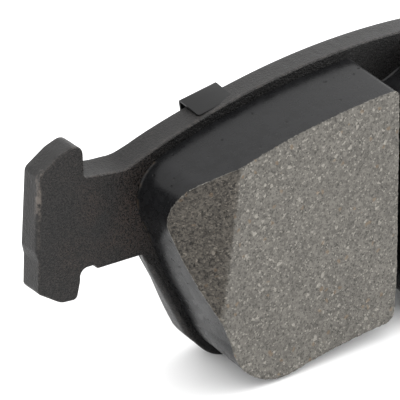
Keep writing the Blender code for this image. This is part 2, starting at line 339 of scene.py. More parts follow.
class Tree:
    """Short forms for building a material's nodes."""

    def __init__(self, name: str) -> None:
        """Start a material with an empty Principled shader.

        Args:
            name: the material's name.
        """
        self.material = bpy.data.materials.new(name)
        self.material.use_nodes = True
        self.nodes = self.material.node_tree.nodes
        self.links = self.material.node_tree.links
        self.shader = self.nodes["Principled BSDF"]
        self.place = self.nodes.new("ShaderNodeTexCoord").outputs["Object"]

    def feed(self, socket: bpy.types.NodeSocket, value: object) -> None:
        """Link a socket to another, or give it a value."""
        if isinstance(value, bpy.types.NodeSocket):
            self.links.new(value, socket)
        else:
            socket.default_value = value

    def math(self, operation: str, first: object, second: object = 0.0,
             clamp: bool = False) -> bpy.types.NodeSocket:
        """A Math node's result."""
        node = self.nodes.new("ShaderNodeMath")
        node.operation = operation
        node.use_clamp = clamp
        self.feed(node.inputs[0], first)
        self.feed(node.inputs[1], second)
        return node.outputs[0]

    def noise(self, scale: float, detail: float = 2.0, roughness: float = 0.5,
              stretch: Optional[Colour] = None, distortion: float = 0.0) -> bpy.types.NodeSocket:
        """Noise over the piece, with scale in cells per metre."""
        node = self.nodes.new("ShaderNodeTexNoise")
        self.feed(node.inputs["Vector"], self.stretched(stretch))
        node.inputs["Scale"].default_value = scale
        node.inputs["Detail"].default_value = detail
        node.inputs["Roughness"].default_value = roughness
        node.inputs["Distortion"].default_value = distortion
        return node.outputs["Fac"]

    def cells(self, scale: float, output: str = "Distance", feature: str = "F1",
              jitter: float = 1.0, warp: float = 0.0) -> bpy.types.NodeSocket:
        """Voronoi cells over the piece, with scale in cells per metre."""
        node = self.nodes.new("ShaderNodeTexVoronoi")
        node.feature = feature
        source = self.place
        if warp:
            shift = self.nodes.new("ShaderNodeTexNoise")
            self.feed(shift.inputs["Vector"], self.place)
            shift.inputs["Scale"].default_value = scale * 1.3
            shift.inputs["Detail"].default_value = 1.0
            centred = self.vector("SUBTRACT", shift.outputs["Color"], (0.5, 0.5, 0.5))
            scaled = self.vector("MULTIPLY", centred, (warp, warp, warp))
            source = self.vector("ADD", self.place, scaled)
        self.feed(node.inputs["Vector"], source)
        node.inputs["Scale"].default_value = scale
        node.inputs["Randomness"].default_value = jitter
        return node.outputs[output]

    def stretched(self, stretch: Optional[Colour]) -> bpy.types.NodeSocket:
        """The piece's own coordinates, scaled per axis."""
        if stretch is None:
            return self.place
        node = self.nodes.new("ShaderNodeMapping")
        self.feed(node.inputs["Vector"], self.place)
        node.inputs["Scale"].default_value = stretch
        return node.outputs["Vector"]

    def vector(self, operation: str, first: object, second: object) -> bpy.types.NodeSocket:
        """A Vector Math node's result."""
        node = self.nodes.new("ShaderNodeVectorMath")
        node.operation = operation
        self.feed(node.inputs[0], first)
        self.feed(node.inputs[1], second)
        return node.outputs["Vector"]

    def span(self, value: object, low: float, high: float, to_low: float = 0.0,
             to_high: float = 1.0) -> bpy.types.NodeSocket:
        """A number mapped smoothly from one range to another."""
        node = self.nodes.new("ShaderNodeMapRange")
        node.interpolation_type = "SMOOTHSTEP"
        self.feed(node.inputs["Value"], value)
        node.inputs["From Min"].default_value = low
        node.inputs["From Max"].default_value = high
        node.inputs["To Min"].default_value = to_low
        node.inputs["To Max"].default_value = to_high
        return node.outputs["Result"]

    def mix(self, factor: object, first: object, second: object,
            blend: str = "MIX") -> bpy.types.NodeSocket:
        """Two colours mixed by a factor."""
        node = self.nodes.new("ShaderNodeMix")
        node.data_type = "RGBA"
        node.blend_type = blend
        for socket, value in ((node.inputs[0], factor), (node.inputs[6], first),
                              (node.inputs[7], second)):
            if isinstance(value, tuple):
                value = (*value, 1.0)
            self.feed(socket, value)
        return node.outputs[2]

    def grey(self, value: object) -> bpy.types.NodeSocket:
        """A number as a grey colour."""
        node = self.nodes.new("ShaderNodeCombineColor")
        for name in ("Red", "Green", "Blue"):
            self.feed(node.inputs[name], value)
        return node.outputs[0]

    def shaded(self, colour: object, light: object) -> bpy.types.NodeSocket:
        """A colour made lighter or darker by a number."""
        return self.mix(1.0, colour, self.grey(light), "MULTIPLY")

    def channel(self, colour: bpy.types.NodeSocket, index: int) -> bpy.types.NodeSocket:
        """One channel of a colour, from 0 for red to 2 for blue."""
        node = self.nodes.new("ShaderNodeSeparateColor")
        self.links.new(colour, node.inputs[0])
        return node.outputs[index]

    def attribute(self, name: str) -> bpy.types.NodeSocket:
        """A number stored on the mesh."""
        node = self.nodes.new("ShaderNodeAttribute")
        node.attribute_name = name
        return node.outputs["Fac"]

    def axis(self, name: str) -> bpy.types.NodeSocket:
        """One coordinate of the piece's own space."""
        node = self.nodes.new("ShaderNodeSeparateXYZ")
        self.feed(node.inputs[0], self.place)
        return node.outputs[name]

    def bump(self, height: object, distance: float, strength: float = 1.0,
             under: Optional[bpy.types.NodeSocket] = None) -> bpy.types.NodeSocket:
        """A Bump node's normal."""
        node = self.nodes.new("ShaderNodeBump")
        node.inputs["Strength"].default_value = strength
        node.inputs["Distance"].default_value = distance
        self.feed(node.inputs["Height"], height)
        if under is not None:
            self.links.new(under, node.inputs["Normal"])
        return node.outputs["Normal"]

    def finish(self, colour: object, roughness: object, normal: Optional[object] = None,
               metallic: float = 0.0, specular: float = 0.5) -> bpy.types.Material:
        """Wire the shader and return the material."""
        if isinstance(colour, tuple):
            colour = (*colour, 1.0)
        self.feed(self.shader.inputs["Base Color"], colour)
        self.feed(self.shader.inputs["Roughness"], roughness)
        self.shader.inputs["Metallic"].default_value = metallic
        self.shader.inputs["Specular IOR Level"].default_value = specular
        if normal is not None:
            self.feed(self.shader.inputs["Normal"], normal)
        return self.material


@dataclass(frozen=True)
class PlatePaint:
    """Thin black stoving paint over shot-blasted steel, with rusty tints and rubbed edges; a
    painted highlight runs along the front rim and painted shade lies beside the blocks.
    """

    sizes: PadSizes
    paint: Colour = (0.0054, 0.0048, 0.0045)
    tint: Colour = (0.0115, 0.0077, 0.0060)
    # Painted shade: the front face's colour where the blocks shadow it.
    painted_shade: Colour = (0.0014, 0.0014, 0.0014)
    # Colour of rubbed paint showing the steel; along the front rim it also serves as a painted
    # highlight.
    wear_and_highlight: Colour = (0.115, 0.098, 0.085)
    speck: Colour = (0.10, 0.08, 0.065)
    tint_place: Point = (-61.0 * MM, 22.0 * MM)
    sheared_dullness: float = 0.14

    def material(self) -> bpy.types.Material:
        """Build the node material."""
        tree = Tree("plate_paint")
        grain = tree.noise(3400.0, 3.0, 0.62)
        specks = tree.cells(1900.0)
        patches = tree.noise(110.0, 3.0, 0.55)
        near = self.nearness(tree)
        face = self.sizes.face_y
        front = tree.span(tree.axis("Y"), face + 0.15 * MM, face + 0.6 * MM, 1.0, 0.0)
        tinted = tree.math("MULTIPLY", tree.span(patches, 0.34, 0.6), near, clamp=True)
        tinted = tree.math("MULTIPLY", tinted, front)
        colour = tree.mix(tinted, self.paint, self.tint)
        light = tree.span(grain, 0.40, 0.64, 0.0, 2.4)
        colour = tree.shaded(colour, light)
        # Painted shade: the front face turns darker between the necks and along the flank ledges,
        # where the blocks shadow it.
        dark = tree.math("MULTIPLY", self.painted_shade_mask(tree), front)
        colour = tree.mix(tree.math("MULTIPLY", dark, 0.75), colour, self.painted_shade)
        scuff = tree.math("MULTIPLY", self.scuffed(tree),
                          tree.span(tree.noise(800.0, 4.0, 0.65), 0.40, 0.60, 0.0, 0.7),
                          clamp=True)
        colour = tree.mix(scuff, colour, self.wear_and_highlight)
        # Light line along the front rim: partly rubbed paint, partly a painted highlight on the
        # rounded edge.
        rim_wear_and_highlight = tree.math("MULTIPLY", tree.attribute("edge"),
                         tree.span(tree.noise(900.0, 3.0, 0.6), 0.42, 0.7, 0.02, 0.16))
        colour = tree.mix(rim_wear_and_highlight, colour, self.wear_and_highlight)
        dots = tree.math("LESS_THAN", tree.cells(520.0), 0.055)
        colour = tree.mix(tree.math("MULTIPLY", dots, 0.3), colour, self.speck)
        height = tree.math("ADD", grain, tree.math("MULTIPLY", specks, 0.35))
        normal = tree.bump(height, 0.00017, 0.85)
        roughness = tree.math("ADD", tree.span(grain, 0.25, 0.75, 0.20, 0.36),
                              tree.math("SUBTRACT", self.sheared_dullness,
                                        tree.math("MULTIPLY", front, self.sheared_dullness)))
        return tree.finish(colour, roughness, normal, specular=0.25)

    def painted_shade_mask(self, tree: Tree) -> bpy.types.NodeSocket:
        """Painted shade on the plate's front face where the blocks shadow it: between the necks and
        along the flanks.
        """
        height = self.sizes.height
        out = tree.math("ABSOLUTE", tree.axis("X"))
        middle = tree.span(out, 44.0 * MM, 56.0 * MM, 1.0, 0.0)
        low = tree.span(tree.axis("Z"), height - 33.0 * MM, height - 27.0 * MM, 0.85, 0.0)
        inner = tree.span(out, 58.0 * MM, 62.0 * MM, 1.0, 0.0)
        return tree.math("MAXIMUM", middle, tree.math("MULTIPLY", low, inner))

    def scuffed(self, tree: Tree) -> bpy.types.NodeSocket:
        """Where the heads' outer front edges are rubbed to the steel."""
        face, height = self.sizes.face_y, self.sizes.height
        out = tree.span(tree.math("ABSOLUTE", tree.axis("X")), 75.6 * MM, 76.8 * MM)
        rolled = tree.span(tree.axis("Y"), face + 0.03 * MM, face + 0.2 * MM)
        front = tree.span(tree.axis("Y"), face + 0.8 * MM, face + 1.9 * MM, 1.0, 0.0)
        front = tree.math("MULTIPLY", front, rolled)
        below = tree.span(tree.axis("Z"), height - 20.0 * MM, height - 11.0 * MM)
        above = tree.span(tree.axis("Z"), height - 5.0 * MM, height - 4.2 * MM, 1.0, 0.0)
        reach = tree.math("MULTIPLY", below, above)
        return tree.math("MULTIPLY", tree.math("MULTIPLY", out, front), reach)

    def nearness(self, tree: Tree) -> bpy.types.NodeSocket:
        """Strength of the rusty tint, strongest where the neck meets the block."""
        node = tree.nodes.new("ShaderNodeVectorMath")
        node.operation = "DISTANCE"
        tree.links.new(tree.place, node.inputs[0])
        node.inputs[1].default_value = self.sizes.place(*self.tint_place, self.sizes.face_y)
        return tree.span(node.outputs["Value"], 4.0 * MM, 18.0 * MM, 0.9, 0.12)


@dataclass(frozen=True)
class GroundMix:
    """The ground friction surface: grey resin packed with pale, dark and coppery grains."""

    base: Colour = (0.0940, 0.0885, 0.0785)
    pale: Colour = (0.27, 0.255, 0.225)
    dark: Colour = (0.026, 0.0245, 0.022)
    copper: Colour = (0.14, 0.095, 0.055)
    chamfer_tint: Colour = (1.0, 0.95, 0.90)
    # Darkening of the chamfer and its pits: partly the torn mix, partly painted shade.
    chamfer_shade: float = 0.62
    pit_shade: float = 0.25

    def colour(self, tree: Tree, shade: object) -> bpy.types.NodeSocket:
        """The grains' colour.

        Args:
            tree: the material being built.
            shade: brightness of the whole surface, 1 for the ground face.

        Returns:
            The colour socket.
        """
        coarse = tree.cells(1500.0, "Color", warp=0.0005)
        fine = tree.cells(3400.0, "Color", warp=0.0003)
        tone = tree.math("ADD", tree.math("MULTIPLY", tree.channel(coarse, 0), 0.5),
                         tree.math("MULTIPLY", tree.channel(fine, 0), 0.5))
        cloud = tree.noise(160.0, 3.0, 0.6)
        tone = tree.math("ADD", tone, tree.math("MULTIPLY", cloud, 0.35))
        light = tree.span(tone, 0.25, 1.1, 0.68, 1.34)
        colour = tree.shaded(self.base, light)
        pick = tree.channel(fine, 1)
        pick_coarse = tree.channel(coarse, 1)
        pale = tree.math("GREATER_THAN", pick, 0.955)
        colour = tree.mix(tree.math("MULTIPLY", pale, 0.5), colour, self.pale)
        dark = tree.math("LESS_THAN", pick, 0.10)
        colour = tree.mix(tree.math("MULTIPLY", dark, 0.7), colour, self.dark)
        flake = tree.math("GREATER_THAN", pick_coarse, 0.982)
        colour = tree.mix(tree.math("MULTIPLY", flake, 0.55), colour, self.pale)
        chip = tree.math("LESS_THAN", pick_coarse, 0.013)
        colour = tree.mix(tree.math("MULTIPLY", chip, 0.45), colour, self.copper)
        return tree.shaded(colour, shade)

    def material(self) -> bpy.types.Material:
        """Build the node material, more torn on the chamfer and darker there, partly from painted
        shade.
        """
        tree = Tree("friction_ground")
        ragged = tree.math("MULTIPLY", tree.math("SUBTRACT", tree.noise(900.0, 3.0, 0.6), 0.5), 1.6)
        cut = tree.span(tree.math("ADD", tree.attribute("chamfer"), ragged), 0.15, 0.85)
        torn = tree.noise(1500.0, 4.0, 0.68)
        # Darker on the chamfer and darker still in its pits: partly the torn mix's own colour,
        # partly painted shade where the chamfer turns away from the light.
        pits = tree.span(torn, 0.36, 0.52, self.pit_shade, 1.0)
        shade = tree.math("MULTIPLY", pits, self.chamfer_shade)
        shade = tree.math("ADD", tree.math("MULTIPLY", cut, shade),
                          tree.math("SUBTRACT", 1.0, cut))
        tint = tree.mix(cut, (1.0, 1.0, 1.0), self.chamfer_tint)
        colour = tree.mix(1.0, self.colour(tree, shade), tint, "MULTIPLY")
        grains = tree.cells(1500.0, "Distance", warp=0.0005)
        height = tree.math("ADD", tree.math("MULTIPLY", grains, 0.8),
                           tree.noise(3600.0, 3.0, 0.65))
        height = tree.math("ADD", height,
                           tree.math("MULTIPLY", tree.math("MULTIPLY", torn, cut), 3.0))
        roughness = tree.span(tree.noise(2600.0, 2.0), 0.3, 0.7, 0.62, 0.9)
        return tree.finish(colour, roughness, tree.bump(height, 0.00012, 0.85), specular=0.25)


@dataclass(frozen=True)
class BlockPaint:
    """Satin black paint on the moulded walls, chipped to the bare mix along the ground edge."""

    paint: Colour = (0.0060, 0.0061, 0.0066)
    lip: Colour = (0.026, 0.019, 0.013)
    pit: Colour = (0.002, 0.002, 0.002)

    def material(self) -> bpy.types.Material:
        """Build the node material."""
        tree = Tree("friction_wall_paint")
        mix = GroundMix()
        mottle = tree.noise(420.0, 4.0, 0.62)
        fine = tree.noise(2600.0, 3.0, 0.6)
        light = tree.span(mottle, 0.3, 0.7, 0.8, 1.25)
        colour = tree.shaded(self.paint, light)
        chips = tree.math("ADD", tree.math("MULTIPLY", fine, 0.6),
                          tree.math("MULTIPLY", tree.noise(1100.0, 2.0, 0.5), 0.6))
        edge = tree.math("ADD", tree.attribute("bare"),
                         tree.math("MULTIPLY", tree.math("SUBTRACT", chips, 0.6), 1.5))
        bare = tree.span(edge, 0.62, 0.78)
        colour = tree.mix(bare, colour, mix.colour(tree, 0.85))
        patchy = tree.span(tree.noise(420.0, 3.0, 0.6), 0.46, 0.64, 0.0, 1.0)
        colour = tree.mix(tree.math("MULTIPLY", tree.attribute("lip"), patchy), colour, self.lip)
        pits = tree.span(tree.cells(330.0, warp=0.001), 0.05, 0.13, 1.0, 0.0)
        colour = tree.mix(tree.math("MULTIPLY", pits, 0.85), colour, self.pit)
        height = tree.math("ADD", tree.math("MULTIPLY", fine, 0.5), mottle)
        height = tree.math("SUBTRACT", height, tree.math("MULTIPLY", pits, 2.5))
        normal = tree.bump(height, 0.00007, 0.45)
        roughness = tree.span(mottle, 0.3, 0.7, 0.22, 0.34)
        return tree.finish(colour, roughness, normal, specular=0.17)


@dataclass(frozen=True)
class SheetCoating:
    """Thin black coating on rolled spring steel."""

    colour: Colour = (0.0048, 0.0048, 0.0050)

    def material(self) -> bpy.types.Material:
        """Build the node material."""
        tree = Tree("cover_coating")
        rolled = tree.noise(900.0, 3.0, 0.55, stretch=(0.25, 1.0, 1.6))
        fine = tree.noise(5200.0, 2.0, 0.5)
        light = tree.span(rolled, 0.3, 0.7, 0.85, 1.15)
        colour = tree.shaded(self.colour, light)
        normal = tree.bump(fine, 0.00002, 0.4)
        return tree.finish(colour, tree.span(rolled, 0.3, 0.7, 0.32, 0.46), normal,
                           specular=0.2)


@dataclass(frozen=True)
class ShimRubber:
    """Vulcanised rubber skin of the damping shim."""

    rubber: Colour = (0.022, 0.022, 0.022)

    def material(self, name: str) -> bpy.types.Material:
        """Build the node material."""
        tree = Tree(name)
        pebble = tree.noise(2400.0, 3.0, 0.6)
        light = tree.span(pebble, 0.3, 0.7, 0.7, 1.3)
        colour = tree.shaded(self.rubber, light)
        return tree.finish(colour, tree.span(pebble, 0.3, 0.7, 0.7, 0.9),
                           tree.bump(pebble, 0.00003, 0.5), specular=0.3)


@dataclass(frozen=True)
class CoreSteel:
    """Bare rolled steel at the damping shim's cut edge."""

    steel: Colour = (0.42, 0.41, 0.40)

    def material(self) -> bpy.types.Material:
        """Build the node material."""
        tree = Tree("shim_core_steel")
        rolled = tree.noise(1800.0, 3.0, 0.6, stretch=(0.1, 1.0, 1.0))
        light = tree.span(rolled, 0.3, 0.7, 0.8, 1.1)
        colour = tree.shaded(self.steel, light)
        return tree.finish(colour, tree.span(rolled, 0.3, 0.7, 0.28, 0.42), metallic=1.0)


# ---------------------------------------------------------------------------------------------
# Backing plate


@dataclass
class BackingPlate:
    """The stamped steel plate with its two T-shaped ears."""

    sizes: PadSizes
    HOLE_STEPS = 48
    PROFILE = (-1.5, -1.0, -0.75, -0.5, -0.25, 0.0, 0.2, 0.4, 0.6, 0.8, 1.0, 1.33, 1.67, 2.0, 2.5)

    shape: BodyShape = field(default_factory=lambda: BodyShape(
        arch_radius=165.0 * MM,
        arch_end=52.0 * MM,
        corners=(
            (57.8, 10.5, 6.0), (67.3, 9.05, 0.8),                       # neck, upper side
            (67.3, 1.25, 2.1), (72.5, 3.0, 4.0), (77.1, 5.9, 1.7),       # head, top
            (78.5, 21.8, 3.0), (78.1, 24.0, 3.0), (78.5, 30.6, 1.3),    # head, end
            (73.4, 34.2, 3.5), (69.8, 34.6, 1.1),                       # head, bottom
            (68.9, 31.0, 0.5), (68.7, 28.4, 1.6), (65.6, 28.5, 0.9), (64.9, 29.5, 0.65),
            (54.6, 29.9, 0.8),                                          # neck, lower side
            (44.2, 51.7, 4.0), (36.3, 60.5, 10.0),                      # flank and foot
        ),
        foot_drop=55.6 * MM,
        foot_end=30.0 * MM,
    ))
    spacing: float = 0.55 * MM
    roll: float = 0.32 * MM
    wide_roll: float = 0.95 * MM
    back_roll: float = 0.22 * MM
    hole_roll: float = 0.3 * MM
    cap_margin: float = 0.12 * MM
    middle_lift: float = 0.15 * MM
    shoulder_lift: float = 0.68 * MM
    hollow_lift: float = 0.35 * MM
    neck_relief: float = 0.25 * MM
    hole_radius: float = 5.5 * MM
    holes: tuple[Point, ...] = ((17.0 * MM, 27.0 * MM), (38.0 * MM, 29.0 * MM))

    def build(self) -> bpy.types.Object:
        """Model the plate and dress it.

        Returns:
            The plate.
        """
        work = bmesh.new()
        outline = Outline.spaced(self.shape.outline(), self.spacing)
        loops = [self.wrap(work, outline, self.front_inset, self.back_inset)]
        for side in Side:
            for x, drop in self.holes:
                ring = self.hole_ring(side.value * x, drop)
                loops.append(self.wrap(work, ring, lambda *_: self.hole_roll, lambda *_: 0.0))
        for end in (0, -1):
            edges = [edge for loop in loops for edge in Mesh.ring_edges(work, loop[end])]
            bmesh.ops.triangle_fill(work, edges=edges, use_beauty=True)
        self.roughen_edge(work)
        plate = Mesh.piece("plate_body", work, [PlatePaint(self.sizes).material()], 38.0)
        Mesh.attribute(plate, "edge", self.rim_nearness)
        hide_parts("backing_plate")
        return plate

    def wrap(self, work: bmesh.types.BMesh, outline: Sequence[Point],
             front_inset: Callable[[Point, Vector], float],
             back_inset: Callable[[Point, Vector], float]) -> list[list[bmesh.types.BMVert]]:
        """Build the sheared edge along one outline, rolled over in front and behind.

        Args:
            work: the mesh being built.
            outline: the plate's own outline or a hole's.
            front_inset: how far the front edge is rolled over at a point.
            back_inset: how far the edge has drawn in at the back.

        Returns:
            The rings of vertices from front to back.
        """
        normals = Outline.normals(outline)
        inward = 1 if len(outline) > self.HOLE_STEPS else -1
        face, back = self.sizes.face_y, self.sizes.back_y
        rings = []
        for share in self.PROFILE:
            spots = []
            for point, normal in zip(outline, normals):
                roll, drawn = front_inset(point, normal), back_inset(point, normal)
                if share <= 0:
                    turn = math.pi / 2 * (1 + max(share, -1.0))
                    inset = roll * (1 - math.sin(turn)) + (self.cap_margin if share < -1 else 0.0)
                    level = face + roll * (1 - math.cos(turn))
                elif share >= 1:
                    turn = math.pi / 2 * (2 - min(share, 2.0))
                    inset = self.back_roll * (1 - math.sin(turn)) + drawn
                    inset += self.cap_margin if share > 2 else 0.0
                    level = back - self.back_roll * (1 - math.cos(turn))
                else:
                    inset = drawn * share ** 1.5
                    level = face + roll + (back - self.back_roll - face - roll) * share
                inset *= inward
                spots.append(self.sizes.place(point[0] - normal.x * inset,
                                              point[1] - normal.y * inset, level))
            rings.append(Mesh.ring(work, spots))
        for low, high in zip(rings, rings[1:]):
            Mesh.bridge(work, low, high)
        return rings

    def front_inset(self, point: Point, normal: Vector) -> float:
        """Roll-over of the front edge, which is wide along the flanks and the heads' ends."""
        x, drop = abs(point[0]), point[1]
        flank = ramp01(drop, 31.5 * MM, 34.0 * MM) * (1 - ramp01(drop, 51.0 * MM, 55.0 * MM))
        flank *= ramp01(x, 38.0 * MM, 41.0 * MM) * (1 - ramp01(x, 56.0 * MM, 58.0 * MM))
        end = ramp01(x, 77.0 * MM, 77.6 * MM) * ramp01(drop, 7.0 * MM, 9.0 * MM)
        end *= 1 - ramp01(drop, 20.0 * MM, 24.0 * MM)
        return self.roll + (self.wide_roll - self.roll) * max(flank, end)

    def back_inset(self, point: Point, normal: Vector) -> float:
        """How far the sheared edge has drawn in at the back, negative where it stands out."""
        x, drop = abs(point[0]), point[1]
        low = ramp01(drop, 29.7 * MM, 31.0 * MM) * (1 - ramp01(x, 56.0 * MM, 60.0 * MM))
        low *= ramp01(x, 34.0 * MM, 40.0 * MM)
        drawn = low * (0.4 + 1.2 * (1 - ramp01(drop, 30.0 * MM, 50.0 * MM))) * MM
        lift = self.middle_lift + self.shoulder_lift * ramp01(x, 28.0 * MM, 56.0 * MM)
        lift += self.hollow_lift * ramp01(x, 53.0 * MM, 58.0 * MM)
        lift -= self.neck_relief * ramp01(x, 59.0 * MM, 63.0 * MM)
        lift *= 1 - ramp01(x, 65.6 * MM, 67.0 * MM)
        return drawn - lift * max(0.0, -normal.y)

    def hole_ring(self, x: float, drop: float) -> list[Point]:
        """The outline of one moulding hole."""
        turns = [math.tau * step / self.HOLE_STEPS for step in range(self.HOLE_STEPS)]
        return [(x + self.hole_radius * math.cos(turn), drop + self.hole_radius * math.sin(turn))
                for turn in turns]

    def roughen_edge(self, work: bmesh.types.BMesh) -> None:
        """Give the sheared edge its slight unevenness."""
        for vert in work.verts:
            depth = vert.co.y - self.sizes.face_y
            torn = ramp01(depth, 1.6 * MM, 3.4 * MM)
            if 0.3 * MM < depth < 5.2 * MM:
                shake = shaken(vert.co * 900.0) * (0.035 + 0.05 * torn) * MM
                vert.co.x += shake.x
                vert.co.z += shake.z

    def rim_nearness(self, place: Vector) -> float:
        """1 on the rounded front edge of the plate, 0 away from it."""
        depth = place.y - self.sizes.face_y
        return 1.0 if 0.02 * MM < depth < 0.34 * MM else 0.0


# ---------------------------------------------------------------------------------------------
# Friction blocks


@dataclass
class FrictionBlock:
    """One moulded block of friction material on its underlayer."""

    sizes: PadSizes
    side: Side
    scooped: bool
    slot_half: float
    slot_flare: float
    ledge: float = 2.2 * MM
    flare_length: float = 11.0 * MM
    arc_end: float = 46.0 * MM
    flank_lean: float = math.radians(20.3)
    flank_start: float = 62.62 * MM
    foot_drop: float = 55.1 * MM
    foot_end: float = 27.2 * MM
    foot_corner: float = 16.0 * MM
    corner_flare: float = 2.7 * MM
    base_draw: float = 1.15 * MM
    arch_centre: float = 165.0 * MM
    foot_radius: float = 146.0 * MM
    taper: float = math.tan(math.radians(4.2))
    top_taper: float = 1.4
    foot_taper: float = 0.07
    scoop_radius: float = 16.0 * MM
    scoop_rise: float = 5.75 * MM
    seam_height: float = 2.0 * MM
    crease_top: float = 40.3 * MM
    crease_lean: float = math.tan(math.radians(8.1))
    chamfer_slope: float = 0.30
    chamfer_twist: float = 0.026 / MM
    steepest: float = 1.2
    wall_rings: int = 16
    cell: float = 0.42 * MM
    lip_width: float = 0.22 * MM
    rim_crumble: float = 0.24 * MM
    rim_shake: float = 0.17 * MM

    def base_outline(self) -> list[Point]:
        """The outline where the block meets the plate, on the right side."""
        radius = self.arch_centre - self.ledge
        if self.scooped:
            meet = self.scoop_meeting(radius)
            upper = Outline.arc(self.scoop_radius, -self.scoop_rise, self.slot_half, meet, False)
            upper += Outline.arc(radius, self.arch_centre, meet, self.arc_end)[1:]
        else:
            upper = Outline.arc(radius, self.arch_centre, self.slot_half, self.arc_end)
        low_inner = self.slot_half + self.slot_flare
        foot = Outline.arc(self.foot_radius, self.foot_drop + self.foot_radius,
                           self.foot_end, low_inner)
        corners = self.slot_corner(upper)
        corners.append((*self.flank_meeting(upper[-1], radius), 8.6 * MM))
        corners.append((*self.flank_meeting(foot[0], self.foot_radius), self.foot_corner))
        corners += [(*point, 0.0) for point in foot if point[0] > low_inner + 2.9 * MM]
        corners.append((*foot[-1], 2.4 * MM))
        corners.append((self.slot_half, foot[-1][1] - self.flare_length, 0.0))
        return Outline.spaced(Outline.rounded(corners), 0.5 * MM)

    def slot_corner(self, upper: Sequence[Point]) -> list[tuple[float, float, float]]:
        """The upper edge's corners, with the one at the slot rounded where there is no scoop."""
        if self.scooped:
            return [(*point, 0.0) for point in upper]
        rest = [(*point, 0.0) for point in upper if point[0] > self.slot_half + 2.0 * MM]
        return [(*upper[0], 1.5 * MM)] + rest

    def scoop_meeting(self, radius: float) -> float:
        """x where the scoop meets the block's upper edge."""
        drop = self.ledge
        x = self.slot_half
        for _ in range(8):
            x = math.sqrt(self.scoop_radius ** 2 - (self.scoop_rise + drop) ** 2)
            drop = self.arch_centre - math.sqrt(radius ** 2 - x ** 2)
        return x

    def flank_meeting(self, end: Point, radius: float) -> Point:
        """Where the tangent at an arc's outer end crosses the flank."""
        lean = math.tan(self.flank_lean)
        slope = end[0] / math.sqrt(radius ** 2 - end[0] ** 2)
        x = (self.flank_start - lean * (end[1] - slope * end[0])) / (1 + lean * slope)
        return x, (self.flank_start - x) / lean

    def taper_weight(self, normal: Vector) -> float:
        """How much of the mould taper a wall has: none in the slot, hardly any below."""
        outward = max(normal.x, 0.0) ** 2
        upward = max(-normal.y, 0.0) ** 2
        downward = max(normal.y, 0.0) ** 2
        return outward + self.top_taper * upward + self.foot_taper * downward

    def wall_point(self, point: Point, normal: Vector, height: float) -> Point:
        """A wall's point at a height above the plate."""
        if not self.scooped and point[0] < self.slot_half + 2.2 * MM and point[1] < 12.0 * MM:
            fade = 1 - ramp01(point[1] - self.ledge, 0.6 * MM, 7.0 * MM)
            return point[0], point[1] + self.top_taper * self.taper * height * fade
        shift = self.taper * height * self.taper_weight(normal)
        shift -= self.corner_reach(point, normal) * height / self.full_height
        low = max(normal.x, 0.0) ** 2 * ramp01(point[1], 32.0 * MM, 50.0 * MM)
        shift += self.base_draw * low * (1 - height / self.full_height)
        return point[0] - normal.x * shift, point[1] - normal.y * shift

    def corner_reach(self, point: Point, normal: Vector) -> float:
        """How far the lower outer corner stands out at the face, where its radius is smaller."""
        half_turn = math.radians(40.0)
        middle = Vector((math.cos(math.radians(60.0)), math.sin(math.radians(60.0))))
        away = normal.angle(middle)
        if away >= half_turn or point[0] < self.foot_end or point[1] < self.foot_drop * 0.6:
            return 0.0
        return self.corner_flare * (math.cos(away) / math.cos(half_turn) - 1)

    @property
    def full_height(self) -> float:
        """Height of the friction face above the plate."""
        return self.sizes.face_y - self.sizes.friction_y

    def face_height(self, x: float, drop: float) -> float:
        """Height of the ground surface, which falls away past the chamfer's crease."""
        beyond = self.beyond_crease(x, drop)
        if beyond <= 0:
            return self.full_height
        slope = self.chamfer_slope + self.chamfer_twist * max(0.0, drop - 11.0 * MM)
        return self.full_height - beyond * min(slope, self.steepest)

    def rim_height(self, point: Point, normal: Vector) -> float:
        """Height at which a wall ends."""
        height = self.full_height
        for _ in range(6):
            height = self.face_height(*self.wall_point(point, normal, height))
        return height

    def rings(self) -> tuple[list[Point], list[Vector], list[float]]:
        """The base outline with its normals and the wall's height at each point."""
        outline = self.base_outline()
        normals = Outline.normals(outline)
        heights = [self.rim_height(point, normal) for point, normal in zip(outline, normals)]
        return outline, normals, heights

    def place(self, point: Point, height: float) -> Vector:
        """A point of this block in the pad's frame."""
        x, drop = point
        return self.sizes.place(self.side.value * x, drop, self.sizes.face_y - height)

    def build(self, paint: bpy.types.Material, ground: bpy.types.Material) -> bpy.types.Object:
        """Model the block above its seam with the underlayer.

        Args:
            paint: finish of the moulded walls.
            ground: finish of the friction face and its chamfer.

        Returns:
            The block.
        """
        outline, normals, heights = self.rings()
        work = bmesh.new()
        loops = []
        for level in range(self.wall_rings + 1):
            share = 1 - (1 - level / self.wall_rings) ** 1.6
            spots = []
            for point, normal, top in zip(outline, normals, heights):
                height = self.seam_height + (top - self.seam_height) * share
                spots.append(self.place(self.wall_point(point, normal, height), height))
            loops.append(Mesh.ring(work, spots))
        for low, high in zip(loops, loops[1:]):
            Mesh.bridge(work, low, high)
        work.faces.new(loops[0])
        cap = work.faces.new(loops[-1])
        cap.material_index = 1
        self.grid_cap(work, cap)
        self.relieve_cap(work)
        name = "friction_body_" + self.side.word
        block = Mesh.piece(name, work, [paint, ground], 50.0)
        Mesh.attribute(block, "bare", self.bareness)
        Mesh.attribute(block, "chamfer", self.chamfer_weight)
        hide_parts("friction_block_" + self.side.word)
        return block

